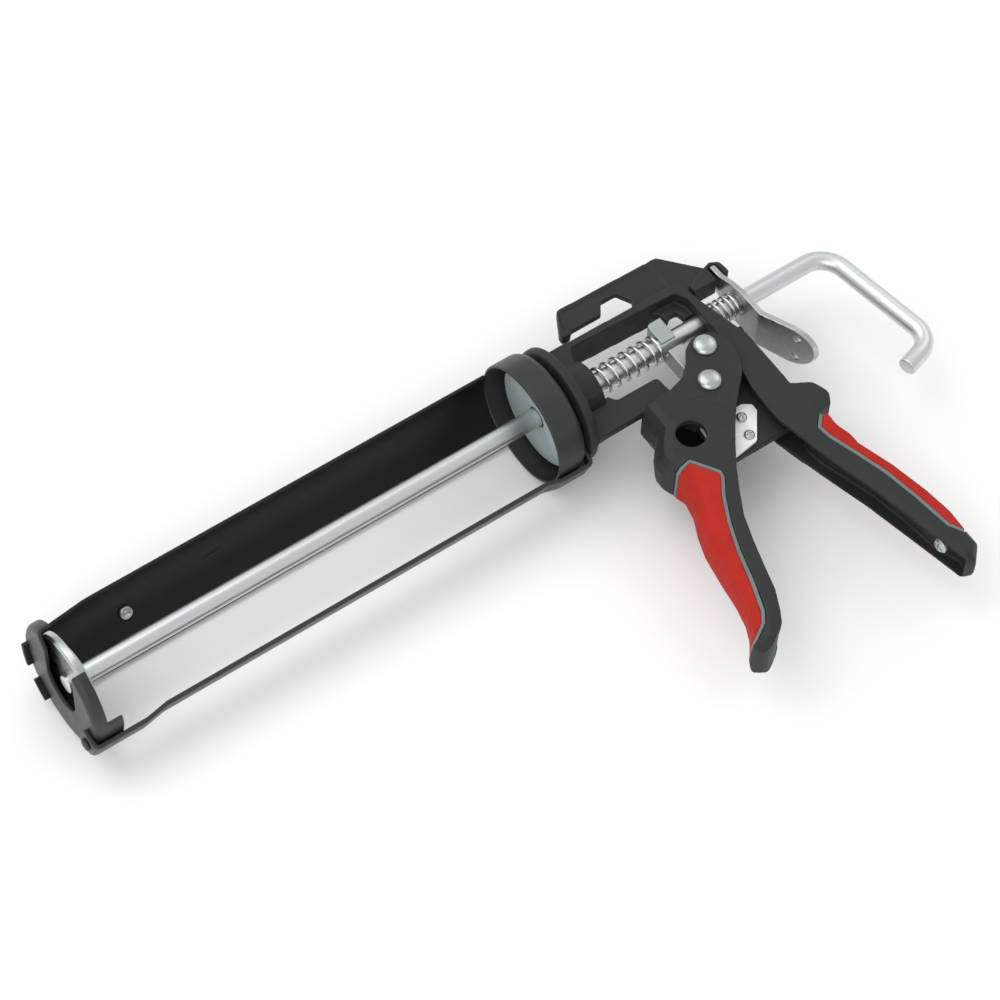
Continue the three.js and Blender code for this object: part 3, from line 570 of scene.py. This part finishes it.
def lever_plate():
    """The bent thumb lever: its side outline cut to its face outline, with the rod's hole and two small ones"""
    x, t = 108.1, 2.5
    out = 27 * math.tan(math.radians(24))
    side = plate([(x, 18.4, 0.8), (x + t, 18.4, 0.8), (x + t, -14.5, 6), (x + t + out + 0.3, -42),
                  (x + out, -42), (x, -15, 4)], -13, 13, steps=10)
    foot_y, foot_r = -28.4, 11
    half = [(18.6, 5.2, 0.8), (12, 5.6, 6), (4, 9, 6), (-3, 10.4, 8), (-16, 10.4, 8), (foot_y, foot_r)]
    angles = [math.pi * k / 24 - math.pi / 2 for k in range(1, 24)]
    foot = [(foot_y - foot_r * math.cos(a), -foot_r * math.sin(a)) for a in angles]
    other_half = [(y, -z, *rest) for y, z, *rest in reversed(half)]
    face = plate([*half, *foot, *other_half], 100, 140, YZ_TO_X)
    lever = cut(side, face, operation="INTERSECT")
    small_hole = [(0, 100), (1.7, 100), (1.7, 130), (0, 130)]
    holes = [turned(small_hole, Matrix.Translation((0, -31.5, z)) @ ALONG_X, 40) for z in (-6, 6)]
    return cut(lever, turned([(0, 100), (4.7, 100), (4.7, 130), (0, 130)], sides=64), *holes)


def small_steel():
    nut = bevelled(cad_copy("retaining_nut"), 0.3, 2, 50)
    piece("spigot_nut", nut, "frame", ZINC, ["retaining_nut"])
    blade = bevelled(cad_copy("cutter_blade"), 0.12, 2, 50)
    piece("nozzle_cutter", blade, "frame", BLADE_PAINTED_REFLECTION, ["cutter_blade"])
    for name, node in (("cutter_screw_1", "blade_screw_1"), ("cutter_screw_2", "blade_screw_2"),
                       ("channel_screw", "handle_screw")):
        screw = moulded(cad_copy(node), 0.12, 2, 0.5)
        piece(name, screw, "frame", ZINC, [node])
    roller = turned([(2.9, -8.7, 0.2), (3.5, -8.7, 0.4), (3.5, 8.7, 0.4), (2.9, 8.7, 0.2)],
                    Matrix.Translation((*PIN_AT, 0)), 48)
    piece("drive_roller", roller, "trigger", ZINC, ["push_roller"])
    block = moulded(cad_copy("drive_block"), 0.2, 4, 0.35)
    piece("drive_bar", block, "drive_block", ZINC_SATIN, ["drive_block"])
    lever = moulded(lever_plate(), 0.24, 3, 0.4)
    piece("thumb_lever", lever, "release_lever", ZINC, ["release_lever"])


def rivets():
    half = [(0, 14.65), (2.6, 14.5, 6), (4.4, 13.7, 3), (5.3, RIVET_SEAT, 0.3)]
    for name, node, body, place, shank in (("pivot_rivet_body", "pivot_rivet", "frame", PIVOT_AT, 3),
                                           ("drive_pin_body", "push_pin", "trigger", PIN_AT, 2.5)):
        under = [(r, -z, *rest) for r, z, *rest in reversed(half)]
        profile = [*half, (shank, RIVET_SEAT), (shank, -RIVET_SEAT), *under]
        rivet = turned(profile, Matrix.Translation((*place, 0)), 64)
        piece(name, rivet, body, ZINC, [node])


def spring(x0, x1, radius, turns, wire):
    """A compression spring whose end turns lie closed"""
    steps = 40
    pitch_end = wire * 1.15
    open_pitch = (x1 - x0 - 2 * pitch_end) / (turns - 2)
    points = []
    for k in range(turns * steps + 1):
        turn = k / steps
        middle = min(max(turn - 1, 0), turns - 2)
        ends = min(turn, 1) + max(turn - turns + 1, 0)
        a = 2 * math.pi * turn
        points.append(Vector((x0 + middle * open_pitch + ends * pitch_end, radius * math.cos(a),
                              radius * math.sin(a))))
    return swept(points, wire / 2, 14)


def springs():
    main = spring(27.4, 68, 5.6, 10, 1.4)
    main = piece("return_spring", main, "frame", WIRE, ["main_spring"], 60)
    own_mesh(main)
    small = spring(93.3, 107.2, 5.3, 6, 1.1)
    small = piece("thumb_spring", small, "frame", WIRE, ["lever_spring"], 60)
    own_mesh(small)


# ---- Trigger and grips ----


def trigger():
    body = moulded(cad_copy("trigger"), 0.36, 5, 0.3)
    piece("trigger_moulding", body, "trigger", PLASTIC, ["trigger"])


def grips():
    for part, body in (("trigger", "trigger"), ("handle", "frame")):
        grip = moulded(cad_copy(f"{part}_grip"), 0.3, 6, 0.5, 0.12)
        piece(f"{part}_soft_grip", grip, body, RED, [f"{part}_grip"])
        border = moulded(cad_copy(f"{part}_border"), 0.22, 3, 0.5, 0.14)
        piece(f"{part}_grey_border", border, body, GREY, [f"{part}_border"])


set_camera()
set_stage()
rear_cup()
backing_disc()
trough()
front_cap()
strap()
seal_piercer()
plunger()
pull_rod()
frame_housing()
small_steel()
rivets()
springs()
trigger()
grips()
